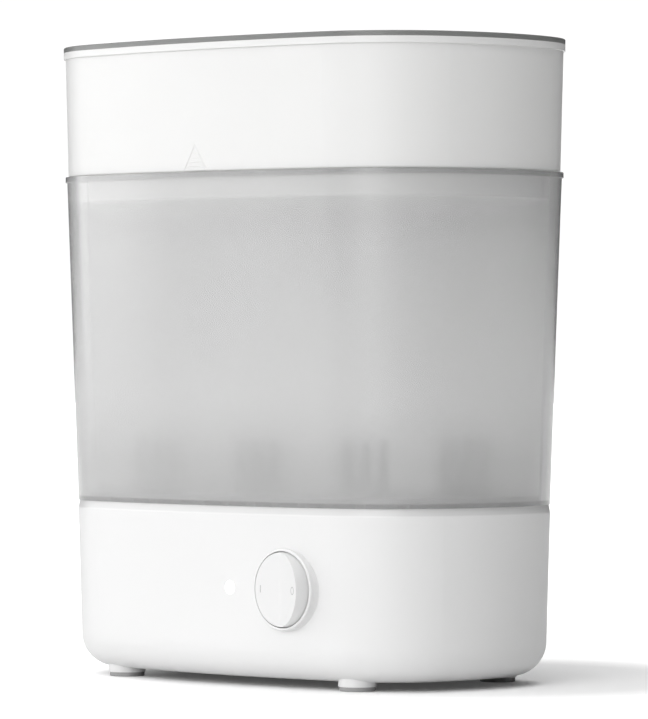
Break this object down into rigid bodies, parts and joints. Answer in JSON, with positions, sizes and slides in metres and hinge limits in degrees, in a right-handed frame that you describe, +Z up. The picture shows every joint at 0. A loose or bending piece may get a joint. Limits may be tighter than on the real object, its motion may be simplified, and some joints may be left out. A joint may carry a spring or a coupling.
{
  "type": "bottle sterilizer",
  "caption": "Oval electric steam steriliser for feeding bottles: base with rocker switch and heating plate, two stacked frosted baskets, bottle plate and lift-off lid.",
  "frame": {"origin": "middle of the oval footprint, on the surface the feet stand on", "axes": "+Z up, +X along the long side, the front with the switch faces -Y"},
  "size_m": [0.295, 0.18, 0.3445],
  "materials": {
    "white_plastic": "gloss",
    "frosted_plastic": "frosted",
    "pearl_plastic": "satin, barely see-through",
    "white_inner_plastic": "satin",
    "grey_rubber": "matte",
    "seal_rubber": "matte",
    "steel": "brushed",
    "screw_steel": "plated",
    "aluminium": "cast",
    "brass": "satin",
    "lens": "clear",
    "led": "clear",
    "board": "satin",
    "dark_plastic": "satin",
    "brown_lead": "satin",
    "blue_lead": "satin",
    "earth_lead": "satin"
  },
  "bodies": {
    "base": {"base_housing": "white_plastic", "bottom_cover": "white_inner_plastic", "foot_pad_front_left": "grey_rubber", "foot_pad_front_right": "grey_rubber", "foot_pad_rear_left": "grey_rubber", "foot_pad_rear_right": "grey_rubber", "cord_gland": "grey_rubber", "cord_clamp": "white_inner_plastic", "cord_clamp_screws": "screw_steel", "cover_screws": "screw_steel", "clamp_ring_screws": "screw_steel", "switch_screws": "screw_steel", "board_screws": "screw_steel", "bracket_screws": "screw_steel", "fuse_clip_screw": "screw_steel", "terminal_block_screw": "screw_steel", "heating_plate": "steel", "plate_seal": "seal_rubber", "plate_clamp_ring": "steel", "heat_diffuser": "aluminium", "heater_element": "steel", "heater_pins": "steel", "thermostat": "aluminium", "thermostat_bracket": "steel", "thermal_fuse": "aluminium", "fuse_clip": "steel", "switch_body": "white_inner_plastic", "common_terminal": "brass", "load_terminal": "brass", "rocker_pin": "steel", "indicator_lens": "lens", "indicator_led": "led", "indicator_board": "board", "terminal_block": "white_inner_plastic", "terminal_inserts": "brass", "live_lead": "brown_lead", "switched_lead": "brown_lead", "fuse_lead": "brown_lead", "heater_lead": "brown_lead", "neutral_lead": "blue_lead", "earth_lead": "earth_lead", "lamp_lead": "blue_lead"},
    "rocker": {"rocker_button": "white_plastic", "switch_plunger": "dark_plastic", "plunger_spring": "steel"},
    "contact_bridge": {"contact_bridge": "brass"},
    "large_basket": {"large_basket": "frosted_plastic"},
    "bottle_plate": {"bottle_plate": "frosted_plastic"},
    "small_basket": {"small_basket": "pearl_plastic"},
    "lid": {"lid": "frosted_plastic"}
  },
  "joints": [
    {"name": "rocker_tilt", "type": "hinge", "parent": "base", "child": "rocker", "pos_m": [0.0588, -0.0767, 0.0523], "axis": [0, 0, 1], "range_deg": [0, 20]},
    {"name": "bridge_tilt", "type": "hinge", "parent": "base", "child": "contact_bridge", "pos_m": [0.0588, -0.0555, 0.0523], "axis": [0, 0, 1], "range_deg": [-16, 0]},
    {"name": "large_basket_lift", "type": "slide", "parent": "base", "child": "large_basket", "axis": [0, 0, 1], "range_m": [0, 0.12]},
    {"name": "bottle_plate_lift", "type": "slide", "parent": "large_basket", "child": "bottle_plate", "axis": [0, 0, 1], "range_m": [0, 0.11]},
    {"name": "small_basket_lift", "type": "slide", "parent": "large_basket", "child": "small_basket", "axis": [0, 0, 1], "range_m": [0, 0.1]},
    {"name": "lid_lift", "type": "slide", "parent": "small_basket", "child": "lid", "axis": [0, 0, 1], "range_m": [0, 0.08]}
  ],
  "couplings": [
    {"joint": "bridge_tilt", "follows": "rocker_tilt", "ratio": -0.8}
  ]
}
